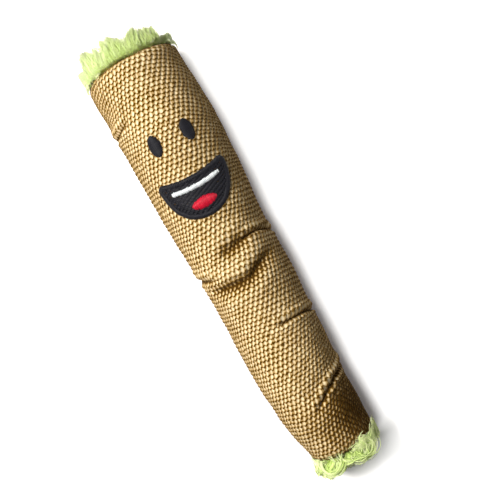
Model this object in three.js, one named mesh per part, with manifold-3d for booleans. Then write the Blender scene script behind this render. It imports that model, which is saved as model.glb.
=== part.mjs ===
// A stuffed catnip stick for cats: a coarse woven tube that tapers to the foot, with a plush tuft in each end
// and an embroidered smile. Millimetres. It lies on its back: +Y runs to the brow end, +X is the right of the
// picture that someone looking down on the face sees, and +Z points up out of the face.
import * as THREE from 'three';
import { mergeVertices } from 'three/addons/utils/BufferGeometryUtils.js';
import Module from 'manifold-3d';

const wasm = await Module();
wasm.setup();

// Free space left between neighbouring pieces, and how near two points are taken as one
const pieceGap = 0.3;
const meetingDistance = 0.001;

// Cover: a woven panel rolled into a tube and turned in at both ends
const coverLength = 175.8;
const browRadius = 19.4;
const footRadius = 13.2;
const sideDrift = 1.7;
const clothThickness = 1.2;
const shoulderRadius = 3.4;
const hemDepth = 7;
const restFlatDepth = 0.5;
const coverRings = 46;
const shoulderSteps = 3;
const turnsRound = 30;

// Back seam: the panel's two edges are turned inwards, overlocked, and closed by hand over the filling slit
const seamTurnShare = 0.8;
const seamDip = 0.7;
const seamAllowance = 3.4;
const seamFinWidth = 2;
const seamNotchSide = 2;
const seamNotchRoom = 1;
const seamThreadRadius = 0.3;
const overlockSwing = 0.3;
const overlockPitch = 7;
const slitLength = 58;
const slitPitch = 5.5;
const slitSwing = 1;
const closingThreadRadius = 0.35;

// Stuffed radius from foot to brow: [share of the length, share of the way from foot radius to brow radius]
const girthShares = [
  [0, 0], [0.034, 0.13], [0.062, 0.24], [0.09, 0.37], [0.125, 0.465], [0.159, 0.475], [0.193, 0.56],
  [0.3, 0.555], [0.363, 0.6], [0.409, 0.675], [0.5, 0.72], [0.546, 0.77], [0.591, 0.81], [0.637, 0.87],
  [0.682, 0.9], [0.728, 0.955], [0.773, 1.045], [0.819, 1.095], [0.864, 1.065], [0.91, 1.005], [1, 0.96],
];

// How the stuffing bows the tube to its right: [share of the length, share of the side drift]
const driftShares = [
  [0, 1], [0.034, 0.85], [0.062, 0.5], [0.09, 0.36], [0.125, 0.04], [0.159, -0.23], [0.227, -0.37],
  [0.272, -0.2], [0.318, -0.05], [0.409, 0.25], [0.5, 0.04], [0.546, -0.21], [0.591, -0.14], [0.637, 0.06],
  [0.682, 0.27], [0.773, 0.38], [0.819, 0.43], [0.864, 0.25], [0.91, 0.27], [0.955, 0], [1, 0],
];

// Folds pressed into the cloth. An end is [share of a half turn from the top line, share of the length].
const foldDepth = 2.4;
const foldSpread = 2.3;
const foldShares = [
  { from: [-0.64, 0.866], to: [-0.27, 0.881], deep: 0.7, wide: 0.8 },
  { from: [0.15, 0.542], to: [0.58, 0.522], deep: 0.95, wide: 0.9 },
  { from: [-0.04, 0.52], to: [0.14, 0.534], deep: 0.4, wide: 1.3 },
  { from: [-0.61, 0.499], to: [-0.19, 0.487], deep: 0.75, wide: 0.8 },
  { from: [-0.22, 0.457], to: [0.18, 0.46], deep: 0.6, wide: 1.6 },
  { from: [0.12, 0.317], to: [0.61, 0.325], deep: 0.9, wide: 0.8 },
  { from: [0.1, 0.126], to: [0.56, 0.195], deep: 1, wide: 1 },
];
const lipHeightShare = 0.3;
const lipReachShare = 1.9;

// End pieces: a plush disc with a turned-in skirt closes each mouth, and its pile stands out as a tuft
const plushThickness = 1.4;
const skirtDepth = 6;
const endThreadRadius = 0.3;
const endThreadSwing = 0.5;
const endStitches = 16;
const browPile = {
  length: 10.6, spill: 1.6, droop: 4, crown: 7.4, lobes: 9, raggedShare: 0.13, phaseShare: 0.1,
};
const footPile = {
  length: 7.6, spill: 1.6, droop: 5, crown: 5.4, lobes: 8, raggedShare: 0.14, phaseShare: 0.55,
};
const pileTurns = 36;

// Face, drawn on the unrolled cloth from its middle: [across, towards the brow]
const faceHeight = 37.4;
const stitchThickness = 0.6;
const stitchCrown = 0.4;
const eyeWidth = 5.4;
const eyeHeight = 8.6;
const eyeSpacing = 14;
const eyeRise = 15;
const mouthWidth = 28;
const mouthDepth = 16.5;
const mouthDrop = -0.5;
const rimWidth = 2.2;
const mouthOutlineShares = [
  [-0.5, 0.02], [-0.36, -0.02], [-0.18, -0.08], [0, -0.1], [0.18, -0.08], [0.36, -0.02], [0.5, 0.02],
  [0.49, -0.25], [0.41, -0.6], [0.24, -0.89], [0, -1], [-0.24, -0.89], [-0.41, -0.6], [-0.49, -0.25],
];
const mouthMiddleShare = 0.48;
const mouthSteps = 44;
const teethInset = 4;
const teethHeight = 2.2;
const teethDrop = 3.8;
const teethSag = 1.2;
const tongueWidth = 10;
const tongueHeight = 4.8;
const tongueLift = 3.6;
const backingThickness = 0.4;
const backingMargin = 3.5;

// Filling: three wads of wadding, the middle one rolled round a sachet of dried catnip
const sachetMiddle = -17.6;
const sachetLength = 50;
const sachetRadius = 7;
const sachetWall = 0.5;
const neckRadius = 2.6;
const neckLength = 4;
const tieRadius = 0.5;
const wadEndMargin = 3;

// The ends of the tube, the turn of the seam and how deep below the cloth its overlock thread runs
const coverEnd = coverLength / 2;
const seamTurn = seamTurnShare * Math.PI;
const turnStep = 2 * Math.PI / turnsRound;
const overlockDepth = clothThickness + seamAllowance + pieceGap + seamThreadRadius + overlockSwing;

// Reads a table of [place, value] pairs between its points.
function readShares(table, at) {
  let i = 1;
  while (i < table.length - 1 && table[i][0] < at) i += 1;
  const [x0, y0] = table[i - 1];
  const [x1, y1] = table[i];
  return THREE.MathUtils.lerp(y0, y1, THREE.MathUtils.clamp((at - x0) / (x1 - x0), 0, 1));
}

function lengthShare(y) {
  return y / coverLength + 0.5;
}

function girth(y) {
  return THREE.MathUtils.lerp(footRadius, browRadius, readShares(girthShares, lengthShare(y)));
}

// The middle of the tube's section: it lies on its pressed underside and bows a little to the sides.
function axisPoint(y) {
  return new THREE.Vector3(sideDrift * readShares(driftShares, lengthShare(y)), y, girth(y) - restFlatDepth);
}

// How far the folds draw the cloth in at a place, less the lips that they push up beside them.
function foldDip(turn, y) {
  const radius = girth(y);
  const place = new THREE.Vector2(turn * radius, y);
  let dip = 0;
  for (const fold of foldShares) {
    const [from, to] = [fold.from, fold.to].map(
      ([turnShare, share]) => new THREE.Vector2(turnShare * Math.PI * radius, (share - 0.5) * coverLength));
    const run = to.clone().sub(from);
    const along = THREE.MathUtils.clamp(place.clone().sub(from).dot(run) / run.lengthSq(), 0, 1);
    const distance = place.distanceTo(from.addScaledVector(run, along));
    const spread = foldSpread * fold.wide;
    const valley = Math.exp(-((distance / spread) ** 2));
    const lip = lipHeightShare * Math.exp(-((distance / spread - lipReachShare) ** 2));
    dip += foldDepth * fold.deep * (valley - lip);
  }
  return dip;
}

// How far the back seam draws the cloth in, from one column of the cloth to the next.
function seamPull(turn) {
  return seamDip * Math.max(0, 1 - Math.abs(turn - seamTurn) / turnStep);
}

// A point that stands lift above the cloth's outer face, or below it where lift is negative.
function clothPoint(turn, y, lift) {
  const axis = axisPoint(y);
  const wrapped = turn > Math.PI ? turn - 2 * Math.PI : turn;
  const radius = girth(y) - foldDip(wrapped, y) - seamPull(turn) + lift;
  const height = axis.z + radius * Math.cos(turn);
  return new THREE.Vector3(axis.x + radius * Math.sin(turn), y, Math.max(height, Math.max(0, -lift)));
}

// A closed geometry from points and triangles. Points that meet become one, and triangles that they close go.
function closedGeometry(points, triangles) {
  const raw = new THREE.BufferGeometry();
  const places = new Float32Array(points.flatMap((p) => p.toArray()));
  raw.setAttribute('position', new THREE.BufferAttribute(places, 3));
  raw.setIndex(triangles.flat());
  const merged = mergeVertices(raw, meetingDistance);
  const kept = [];
  const index = merged.index.array;
  for (let i = 0; i < index.length; i += 3) {
    const [a, b, c] = [index[i], index[i + 1], index[i + 2]];
    if (a !== b && b !== c && c !== a) kept.push(a, b, c);
  }
  merged.setIndex(kept);
  merged.computeVertexNormals();
  return merged;
}

// Skins a list of rings into a solid. Rings may differ in their number of points. The ends are joined to each
// other, fanned about their middle, or folded flat by joining each end ring's points across it.
function skinRings(rings, ends = 'fanned') {
  const points = [];
  const starts = rings.map((ring) => {
    points.push(...ring);
    return points.length - ring.length;
  });
  const triangles = [];
  const pairs = ends === 'joined' ? rings.length : rings.length - 1;
  for (let r = 0; r < pairs; r += 1) {
    const next = (r + 1) % rings.length;
    const [n, m] = [rings[r].length, rings[next].length];
    let [i, j] = [0, 0];
    while (i < n || j < m) {
      const [here, there] = [rings[r], rings[next]];
      const shorter = n === m ? i <= j
        : here[(i + 1) % n].distanceTo(there[j % m]) <= here[i % n].distanceTo(there[(j + 1) % m]);
      const stepFirst = j === m || (i < n && shorter);
      const a = starts[r] + i % n;
      const b = starts[next] + j % m;
      if (stepFirst) {
        triangles.push([a, starts[r] + (i + 1) % n, b]);
        i += 1;
      } else {
        triangles.push([a, starts[next] + (j + 1) % m, b]);
        j += 1;
      }
    }
  }
  for (const [r, flip] of ends === 'joined' ? [] : [[0, true], [rings.length - 1, false]]) {
    const [start, count] = [starts[r], rings[r].length];
    const add = (a, b, c) => triangles.push(flip ? [b, a, c] : [a, b, c]);
    if (ends === 'fanned') {
      points.push(rings[r].reduce((sum, p) => sum.add(p), new THREE.Vector3()).divideScalar(count));
      for (let i = 0; i < count; i += 1) add(start + i, start + (i + 1) % count, points.length - 1);
    } else {
      for (let i = 0; i < count / 2 - 1; i += 1) {
        const [a, b, c, d] = [i, i + 1, count - 2 - i, count - 1 - i].map((k) => start + k);
        add(a, b, c);
        add(a, c, d);
      }
    }
  }
  return facingOut(closedGeometry(points, triangles));
}

// Turns a closed geometry's faces outwards if it was wound the other way.
function facingOut(geometry) {
  const position = geometry.getAttribute('position');
  const index = geometry.index.array;
  const corner = (i) => new THREE.Vector3().fromBufferAttribute(position, index[i]);
  let volume = 0;
  for (let i = 0; i < index.length; i += 3) volume += corner(i).dot(corner(i + 1).cross(corner(i + 2)));
  if (volume < 0) {
    for (let i = 0; i < index.length; i += 3) [index[i + 1], index[i + 2]] = [index[i + 2], index[i + 1]];
    geometry.computeVertexNormals();
  }
  return geometry;
}

// A patch lying on the cloth. place(u, v) gives [across, towards the brow] on the unrolled cloth.
function patch(place, uCount, vCount, low, high, wraps = false) {
  const sheet = (lift) => {
    const rows = [];
    for (let v = 0; v <= vCount; v += 1) {
      const row = [];
      for (let u = 0; u < uCount + (wraps ? 0 : 1); u += 1) {
        const [across, y] = place(u / uCount, v / vCount);
        row.push(clothPoint(across / girth(y), y, lift(u / uCount, v / vCount)));
      }
      rows.push(row);
    }
    return rows;
  };
  const [under, over] = [sheet(low), sheet(high)];
  if (wraps) return skinRings([...over, ...under.reverse()], 'joined');
  return skinRings(over.map((row, v) => [...row, ...under[v].reverse()]), 'folded');
}

// A thread along points: a round tube with rounded-off flat ends, or a loop.
function thread(points, radius, { loop = false, steps, sides = 5 }) {
  const route = new THREE.CatmullRomCurve3(points, loop);
  if (loop) {
    const tube = new THREE.TubeGeometry(route, steps, radius, sides, true);
    tube.deleteAttribute('normal');
    tube.deleteAttribute('uv');
    return tube;
  }
  const round = new THREE.EllipseCurve(0, 0, radius, radius, 0, 2 * Math.PI);
  const section = new THREE.Shape(round.getPoints(sides));
  return new THREE.ExtrudeGeometry(section, { steps, extrudePath: route });
}

function solidOf(geometry) {
  const bare = new THREE.BufferGeometry().setAttribute('position', geometry.getAttribute('position'));
  if (geometry.index) bare.setIndex(geometry.index);
  const merged = mergeVertices(bare, meetingDistance);
  const [vertProperties, triVerts] = [merged.attributes.position.array, new Uint32Array(merged.index.array)];
  return new wasm.Manifold(new wasm.Mesh({ numProp: 3, vertProperties, triVerts }));
}

function geometryOf(solid) {
  const mesh = solid.getMesh();
  const geometry = new THREE.BufferGeometry();
  geometry.setAttribute('position', new THREE.BufferAttribute(new Float32Array(mesh.vertProperties), 3));
  geometry.setIndex(new THREE.BufferAttribute(mesh.triVerts, 1));
  geometry.computeVertexNormals();
  return geometry;
}

// Places round the inside of the tube: every second column of the cloth, and round the seam the points of its
// fin, or of the notch that a wad leaves for it, each as [turn, whether it is the tip].
const seamNotchWidth = seamFinWidth + 2 * seamNotchSide;

function insideTurns(around = [seamNotchWidth, seamFinWidth]) {
  const turns = [];
  for (let i = 0; i < turnsRound; i += 2) {
    if (Math.abs(i * turnStep - seamTurn) > turnStep / 2) turns.push([i * turnStep, false]);
    else {
      const halves = around.map((width) => width / 2 / browRadius);
      turns.push(...halves.map((half) => [seamTurn - half, false]), [seamTurn, true]);
      turns.push(...halves.reverse().map((half) => [seamTurn + half, false]));
    }
  }
  return turns;
}

// A ring inside the tube at one depth below the cloth's outer face, with its tip at the seam deeper.
function insideRing(y, depth, tipDepth = 0, around = undefined) {
  return insideTurns(around).map(([turn, tip]) => clothPoint(turn, y, -depth - (tip ? tipDepth : 0)));
}

function outsideRing(y, lift) {
  return Array.from({ length: turnsRound }, (_, i) => clothPoint(i * turnStep, y, lift));
}

// The heights of the cover's rings between its shoulders
function bodyHeights() {
  const [low, high] = [-coverEnd + shoulderRadius, coverEnd - shoulderRadius];
  return Array.from({ length: coverRings + 1 }, (_, i) => THREE.MathUtils.lerp(low, high, i / coverRings));
}

// The cover: its outer face from foot to brow, in over the brow's hem, and back along the inside to the foot's
function coverGeometry() {
  const rings = [];
  const shoulder = (side, outwards) => {
    const arc = Array.from({ length: shoulderSteps }, (_, i) => (i + 1) / shoulderSteps * Math.PI / 2);
    const made = arc.map((angle) => outsideRing(
      side * (coverEnd - shoulderRadius * (1 - Math.sin(angle))), -shoulderRadius * (1 - Math.cos(angle))));
    return outwards ? made : made.reverse();
  };
  const hem = (side, inwards) => {
    const made = [
      [hemDepth, shoulderRadius], [hemDepth, shoulderRadius - clothThickness],
      [clothThickness, shoulderRadius - clothThickness], [shoulderRadius, clothThickness],
    ].map(([down, depth]) => insideRing(side * (coverEnd - down), depth));
    return inwards ? made : made.reverse();
  };
  rings.push(...shoulder(-1, false));
  rings.push(...bodyHeights().map((y) => outsideRing(y, 0)));
  rings.push(...shoulder(1, true));
  rings.push(...hem(1, true));
  const between = bodyHeights().slice(1, -1).reverse();
  rings.push(...between.map((y) => insideRing(y, clothThickness, seamAllowance)));
  rings.push(...hem(-1, false));
  return skinRings(rings, 'joined');
}

// A ring inside the tube at any height, on the straight stretch of cloth between two of the cover's rings
function ringBetweenRows(y, ...ring) {
  const rows = bodyHeights();
  const above = rows.findIndex((row) => row > y);
  const [from, to] = [rows[above - 1], rows[above]];
  const upper = insideRing(to, ...ring);
  return insideRing(from, ...ring).map((point, i) => point.lerp(upper[i], (y - from) / (to - from)));
}

// A wad of filling between two heights, following the inside of the cover. A bore leaves room for the sachet.
function wadGeometry(low, high, depth, bore = 0) {
  const inner = bodyHeights().filter((y) => y > low && y < high);
  const heights = [low, ...inner, high].reverse();
  const notchDepth = overlockDepth + seamThreadRadius + overlockSwing + seamNotchRoom - depth;
  const outer = heights.map((y) => ringBetweenRows(y, depth, notchDepth, [seamNotchWidth]));
  if (!bore) return skinRings(outer);
  const middle = sachetAxis();
  const round = [low, high].map((y) => outer[0].map((_, i) => {
    const turn = i / outer[0].length * 2 * Math.PI;
    return new THREE.Vector3(middle.x + bore * Math.sin(turn), y, middle.z + bore * Math.cos(turn));
  }));
  return skinRings([...outer, ...round], 'joined');
}

function sachetAxis() {
  return axisPoint(sachetMiddle);
}

// Turns [radius, distance along the tube] pairs about the sachet's axis.
function turnedAboutSachet(profile, segments) {
  const points = profile.map(([radius, along]) => new THREE.Vector2(radius, along));
  const geometry = new THREE.LatheGeometry(points, segments);
  const { x, z } = sachetAxis();
  return geometry.translate(x, sachetMiddle, z);
}

// The sachet: a bag that is open at its neck, and the catnip that fills it
const sachetEnd = sachetLength / 2;
const sachetShoulder = sachetRadius / 2;

function sachetGeometry() {
  const outer = [
    [0, -sachetEnd], [sachetRadius - sachetShoulder, -sachetEnd], [sachetRadius, -sachetEnd + sachetShoulder],
    [sachetRadius, sachetEnd - 2 * sachetShoulder], [neckRadius, sachetEnd - neckLength],
    [neckRadius, sachetEnd],
  ];
  const inner = [
    [neckRadius - sachetWall, sachetEnd], [neckRadius - sachetWall, sachetEnd - neckLength],
    [sachetRadius - sachetWall, sachetEnd - 2 * sachetShoulder],
    [sachetRadius - sachetWall, -sachetEnd + sachetShoulder],
    [sachetRadius - sachetShoulder, -sachetEnd + sachetWall], [0, -sachetEnd + sachetWall],
  ];
  return turnedAboutSachet([...outer, ...inner], 20);
}

function catnipGeometry() {
  const inset = sachetWall + pieceGap;
  return turnedAboutSachet([
    [0, -sachetEnd + inset], [sachetRadius - sachetShoulder, -sachetEnd + inset],
    [sachetRadius - inset, -sachetEnd + sachetShoulder],
    [sachetRadius - inset, sachetEnd - 2 * sachetShoulder - inset], [0, sachetEnd - neckLength - inset],
  ], 16);
}

function sachetTieGeometry() {
  const { x, z } = sachetAxis();
  const y = sachetMiddle + sachetEnd - neckLength / 2;
  const loopRadius = neckRadius + pieceGap + tieRadius;
  const points = Array.from({ length: 8 }, (_, i) => {
    const turn = i / 8 * 2 * Math.PI;
    return new THREE.Vector3(x + loopRadius * Math.sin(turn), y, z + loopRadius * Math.cos(turn));
  });
  return thread(points, tieRadius, { loop: true, steps: 20 });
}

// The plush disc that closes a mouth, with its skirt turned in along the cover's hem. side is 1 at the brow
// and -1 at the foot.
function plushDiscGeometry(side) {
  return skinRings([
    [0, plushThickness / 2], [plushThickness, 0], [skirtDepth, 0], [skirtDepth, plushThickness],
    [plushThickness, plushThickness],
  ].map(([down, inset]) => insideRing(side * (coverEnd - down), shoulderRadius + pieceGap + inset)));
}

// The tuft: a dome of pile that ends in ragged lobes and droops over the cover's shoulder at its sides.
// A ring's lift is measured from the cloth, and beyond the cover's end from the cloth's last ring.
function pileGeometry(side, pile) {
  const mouth = girth(side * coverEnd) - shoulderRadius;
  const phase = pile.phaseShare * 2 * Math.PI;
  const ring = (lift, along, ragged) => Array.from({ length: pileTurns }, (_, i) => {
    const turn = (i / pileTurns) * 2 * Math.PI;
    const free = Math.min(1, 1 + Math.cos(turn));
    const lobe = Math.cos(pile.lobes * turn + phase) + Math.cos((pile.lobes - 3) * turn + 2 * phase) / 2;
    const rough = pile.raggedShare * ragged * lobe * free;
    const out = (along < 0 ? along * Math.abs(Math.sin(turn)) ** 3 : along) + rough * pile.length;
    const y = side * (coverEnd + pieceGap + out);
    const place = clothPoint(turn, side * Math.min(side * y, coverEnd), lift + rough * pile.spill);
    return new THREE.Vector3(place.x, y, Math.max(place.z, pieceGap));
  });
  return skinRings([
    ring(-shoulderRadius, 0, 0), ring(-shoulderRadius / 2, 0, 0), ring(pieceGap, -shoulderRadius / 2, 0),
    ring(pile.spill, -pile.droop, 1), ring(pile.spill, pile.length / 3, 1),
    ring(0, 2 * pile.length / 3, 1), ring(-shoulderRadius, pile.length, 1),
    ring(-shoulderRadius - mouth / 3, (pile.length + pile.crown) / 2, 1 / 2),
    ring(-shoulderRadius - 2 * mouth / 3, pile.crown, 0),
  ]);
}

// The stitches that join a plush disc's skirt to the hem, run round the inside of the skirt
function endThreadGeometry(side) {
  const axis = axisPoint(side * coverEnd);
  const inset = shoulderRadius + plushThickness + 3 * pieceGap + seamDip + endThreadRadius;
  const radius = girth(side * coverEnd) - inset;
  const count = 2 * endStitches;
  const points = Array.from({ length: count }, (_, i) => {
    const turn = i / count * 2 * Math.PI;
    const y = side * (coverEnd - skirtDepth / 2 + (i % 2 ? endThreadSwing : -endThreadSwing));
    return new THREE.Vector3(axis.x + radius * Math.sin(turn), y, axis.z + radius * Math.cos(turn));
  });
  return thread(points, endThreadRadius, { loop: true, steps: 2 * count });
}

// The overlock thread that binds the tip of the seam's turned-in edges
function overlockGeometry() {
  const reach = coverEnd - hemDepth - overlockPitch;
  const count = Math.round(2 * reach / (overlockPitch / 2));
  const points = Array.from({ length: count + 1 }, (_, i) => {
    const y = THREE.MathUtils.lerp(-reach, reach, i / count);
    const swing = (i % 2 ? overlockSwing : -overlockSwing);
    return clothPoint(seamTurn, y, -overlockDepth + swing);
  });
  return thread(points, seamThreadRadius, { steps: count * 2 });
}

// The hand-sewn ladder stitch over the filling slit, on the outside of the seam
function closingThreadGeometry() {
  const count = Math.round(slitLength / slitPitch) * 2;
  const lift = pieceGap + closingThreadRadius;
  const points = Array.from({ length: count + 1 }, (_, i) => {
    const y = sachetMiddle + slitLength * (i / count - 0.5);
    const swing = (i % 2 ? slitSwing : -slitSwing) / girth(y);
    return clothPoint(seamTurn + swing, y, lift);
  });
  return thread(points, closingThreadRadius, { steps: count * 3 });
}

// Embroidery. Every patch starts a gap above the cloth and is crowned in its middle.
function stitchLow() {
  return pieceGap;
}

function crowned(u, v) {
  return pieceGap + stitchThickness + stitchCrown * (1 - v * v);
}

function eyeGeometry(side) {
  const place = (u, v) => {
    const turn = u * 2 * Math.PI;
    return [
      side * eyeSpacing / 2 + v * eyeWidth / 2 * Math.cos(turn),
      faceHeight + eyeRise + v * eyeHeight / 2 * Math.sin(turn),
    ];
  };
  return patch(place, 20, 3, stitchLow, crowned, true);
}

const mouthOutline = new THREE.CatmullRomCurve3(
  mouthOutlineShares.map(([across, down]) => new THREE.Vector3(
    across * mouthWidth, faceHeight + mouthDrop + down * mouthDepth, 0)), true);

// A point of the mouth's outline moved inwards by a distance.
function mouthPoint(u, inset) {
  const at = mouthOutline.getPointAt(u % 1);
  const along = mouthOutline.getTangentAt(u % 1);
  return [at.x - along.y * -inset, at.y + along.x * -inset];
}

function mouthFillGeometry() {
  const middle = faceHeight + mouthDrop - mouthMiddleShare * mouthDepth;
  const place = (u, v) => {
    const [across, y] = mouthPoint(u, rimWidth / 2 + pieceGap);
    return [across * v, THREE.MathUtils.lerp(middle, y, v)];
  };
  const fill = patch(place, mouthSteps, 3, stitchLow, () => pieceGap + stitchThickness, true);
  const through = pieceGap + 2 * stitchThickness;
  const room = solidOf(teethGeometry(pieceGap, () => 0, () => through)).add(
    solidOf(tongueGeometry(pieceGap, () => 0, () => through)));
  return geometryOf(solidOf(fill).subtract(room));
}

function mouthRimGeometry() {
  const place = (u, v) => mouthPoint(u, rimWidth * (v - 0.5));
  const high = (u, v) => pieceGap + stitchThickness + stitchCrown * (1 - (2 * v - 1) ** 2);
  return patch(place, mouthSteps, 4, stitchLow, high, true);
}

function teethGeometry(grown = 0, low = stitchLow, high = crowned) {
  const width = mouthWidth - 2 * teethInset;
  const place = (u, v) => {
    const across = (u - 0.5) * (width + 2 * grown);
    const middle = faceHeight + mouthDrop - teethDrop - teethSag * (1 - (2 * u - 1) ** 2);
    return [across, middle + (v - 0.5) * (teethHeight + 2 * grown)];
  };
  return patch(place, 10, 2, low, high);
}

function tongueGeometry(grown = 0, low = stitchLow, high = crowned) {
  const middle = faceHeight + mouthDrop - mouthDepth + rimWidth / 2 + tongueLift;
  const place = (u, v) => {
    const turn = u * 2 * Math.PI;
    return [
      v * (tongueWidth / 2 + grown) * Math.cos(turn),
      middle + v * (tongueHeight / 2 + grown) * Math.sin(turn),
    ];
  };
  return patch(place, 18, 2, low, high, true);
}

// A point on the flat facet that the cover's inside has between two of its columns there
function facetPoint(turn, y, depth) {
  const column = 2 * turnStep;
  const first = Math.floor(turn / column) * column;
  const [from, to] = [first, first + column].map((at) => clothPoint(at, y, -depth));
  return from.lerp(to, (turn - first) / column);
}

// The stabiliser sheet that the embroidery was sewn through, left in behind the face
function backingGeometry() {
  const low = faceHeight + mouthDrop - mouthDepth - backingMargin;
  const high = faceHeight + eyeRise + eyeHeight / 2 + backingMargin;
  const reach = (mouthWidth / 2 + backingMargin) / browRadius;
  const heights = [high, ...bodyHeights().reverse().filter((y) => y > low && y < high), low];
  const columns = Math.floor(reach / (2 * turnStep));
  const inner = Array.from({ length: 2 * columns + 1 }, (_, i) => (i - columns) * 2 * turnStep);
  const turns = [-reach, ...inner, reach];
  const depth = clothThickness + pieceGap;
  return skinRings(heights.map((y) => [
    ...turns.map((turn) => facetPoint(turn, y, depth)),
    ...turns.map((turn) => facetPoint(turn, y, depth + backingThickness)).reverse(),
  ]), 'folded');
}

// Colours and finishes
function finish(color, roughness) {
  return new THREE.MeshStandardMaterial({ color, roughness, metalness: 0, side: THREE.DoubleSide });
}

const finishes = {
  weave: finish(0xb8935c, 0.9),
  plush: finish(0xb4e070, 0.85),
  blackThread: finish(0x17161b, 0.5),
  whiteThread: finish(0xeef2f6, 0.5),
  redThread: finish(0xd0142c, 0.5),
  sewingThread: finish(0xa9834e, 0.7),
  wadding: finish(0xf2f1ec, 0.95),
  muslin: finish(0xe6dfcc, 0.9),
  herb: finish(0x6d7d3e, 1),
};

const toy = new THREE.Group();

function addPiece(name, geometry, material) {
  const piece = new THREE.Mesh(geometry, material);
  piece.name = name;
  toy.add(piece);
}

addPiece('cover', coverGeometry(), finishes.weave);
addPiece('seam_overlock_thread', overlockGeometry(), finishes.sewingThread);
addPiece('closing_thread', closingThreadGeometry(), finishes.sewingThread);

for (const [end, side, pile] of [['brow', 1, browPile], ['foot', -1, footPile]]) {
  addPiece(`${end}_plush_disc`, plushDiscGeometry(side), finishes.plush);
  addPiece(`${end}_pile`, pileGeometry(side, pile), finishes.plush);
  addPiece(`${end}_seam_thread`, endThreadGeometry(side), finishes.sewingThread);
}

addPiece('left_eye', eyeGeometry(-1), finishes.blackThread);
addPiece('right_eye', eyeGeometry(1), finishes.blackThread);
addPiece('mouth_fill', mouthFillGeometry(), finishes.blackThread);
addPiece('mouth_rim', mouthRimGeometry(), finishes.blackThread);
addPiece('teeth', teethGeometry(), finishes.whiteThread);
addPiece('tongue', tongueGeometry(), finishes.redThread);
addPiece('embroidery_backing', backingGeometry(), finishes.muslin);

const sleeveLow = sachetMiddle - sachetEnd - wadEndMargin;
const sleeveHigh = sachetMiddle + sachetEnd + wadEndMargin;
const wadEnd = coverEnd - hemDepth - pieceGap;
const sideDepth = clothThickness + pieceGap;
const faceDepth = sideDepth + backingThickness + pieceGap;
const bore = sachetRadius + pieceGap;
addPiece('brow_wad', wadGeometry(sleeveHigh + pieceGap, wadEnd, faceDepth), finishes.wadding);
addPiece('sachet_wad', wadGeometry(sleeveLow, sleeveHigh, sideDepth, bore), finishes.wadding);
addPiece('foot_wad', wadGeometry(-wadEnd, sleeveLow - pieceGap, sideDepth), finishes.wadding);
addPiece('catnip_sachet', sachetGeometry(), finishes.muslin);
addPiece('catnip', catnipGeometry(), finishes.herb);
addPiece('sachet_tie', sachetTieGeometry(), finishes.sewingThread);

// The origin is the middle of the footprint, on the surface that the stick lies on.
const bounds = new THREE.Box3().setFromObject(toy);
const middle = bounds.getCenter(new THREE.Vector3());
toy.position.set(-middle.x, -middle.y, -bounds.min.z);

export default toy;
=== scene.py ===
import math

import bmesh
import bpy
import numpy as np
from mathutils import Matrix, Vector


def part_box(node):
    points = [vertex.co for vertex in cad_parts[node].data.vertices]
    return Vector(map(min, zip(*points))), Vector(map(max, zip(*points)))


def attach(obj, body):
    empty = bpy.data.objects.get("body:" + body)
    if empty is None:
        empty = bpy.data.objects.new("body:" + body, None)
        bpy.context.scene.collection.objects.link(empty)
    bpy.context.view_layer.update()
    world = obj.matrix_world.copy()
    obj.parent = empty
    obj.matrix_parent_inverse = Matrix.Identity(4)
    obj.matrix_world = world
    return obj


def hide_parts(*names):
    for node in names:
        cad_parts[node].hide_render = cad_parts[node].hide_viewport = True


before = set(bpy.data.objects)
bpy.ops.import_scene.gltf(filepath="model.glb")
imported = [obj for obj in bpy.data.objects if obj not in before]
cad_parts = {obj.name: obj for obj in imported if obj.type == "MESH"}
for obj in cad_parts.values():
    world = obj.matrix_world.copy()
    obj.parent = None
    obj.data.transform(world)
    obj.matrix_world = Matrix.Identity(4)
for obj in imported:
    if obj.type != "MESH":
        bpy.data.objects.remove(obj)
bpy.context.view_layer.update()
mm = 0.001

scene = bpy.context.scene
scene.view_settings.view_transform = "Standard"

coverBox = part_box("cover")
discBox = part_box("brow_plush_disc")
toyMiddle = Vector(((discBox[0].x + discBox[1].x) / 2, (coverBox[0].y + coverBox[1].y) / 2, 0))


# Camera, lamps and floor

camera = {"across": 6.05, "along": 1.0, "height": 419, "turn": -29.0, "frameWidth": 199.2, "distance": 400}
lamps = {  # places as seen in the picture: right, up, towards the camera
    "key": {"place": (-430, 60, 640), "size": 240, "power": 7.4, "color": (1.0, 0.965, 0.91)},
    "window": {"place": (-460, 60, 600), "size": 760, "power": 3.6, "color": (1.0, 0.965, 0.91)},
    "fill": {"place": (300, 500, 700), "size": 700, "power": 0.6, "color": (1.0, 0.98, 0.95)},
}
surround = {
    "level": 0.08, "color": (1.0, 0.96, 0.9), "floorSize": 6, "floorColor": (0.8, 0.79, 0.8),
    "seenColor": (0.93, 0.92, 0.94), "floorGlow": 0.86, "shadeSamples": 24, "contact": 0.011,
    "contactShade": [(0.74, (0.035, 0.036, 0.045)), (1.0, (1.0,) * 3)],
    # the wider painted shadow under the tufts starts at these metres along and left of the middle
    "under": 0.021, "underAlong": 0.087, "alongGain": 150, "underLeft": 0.012, "leftGain": 100,
}


def addCamera():
    data = bpy.data.cameras.new("camera")
    data.sensor_width = 36
    data.lens = 36 * camera["distance"] / camera["frameWidth"]
    data.clip_start = 0.01
    data.clip_end = 20
    eye = bpy.data.objects.new("camera", data)
    scene.collection.objects.link(eye)
    eye.location = toyMiddle + Vector((camera["across"], camera["along"], camera["height"])) * mm
    eye.rotation_euler = (0, 0, math.radians(camera["turn"]))
    scene.camera = eye


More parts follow.
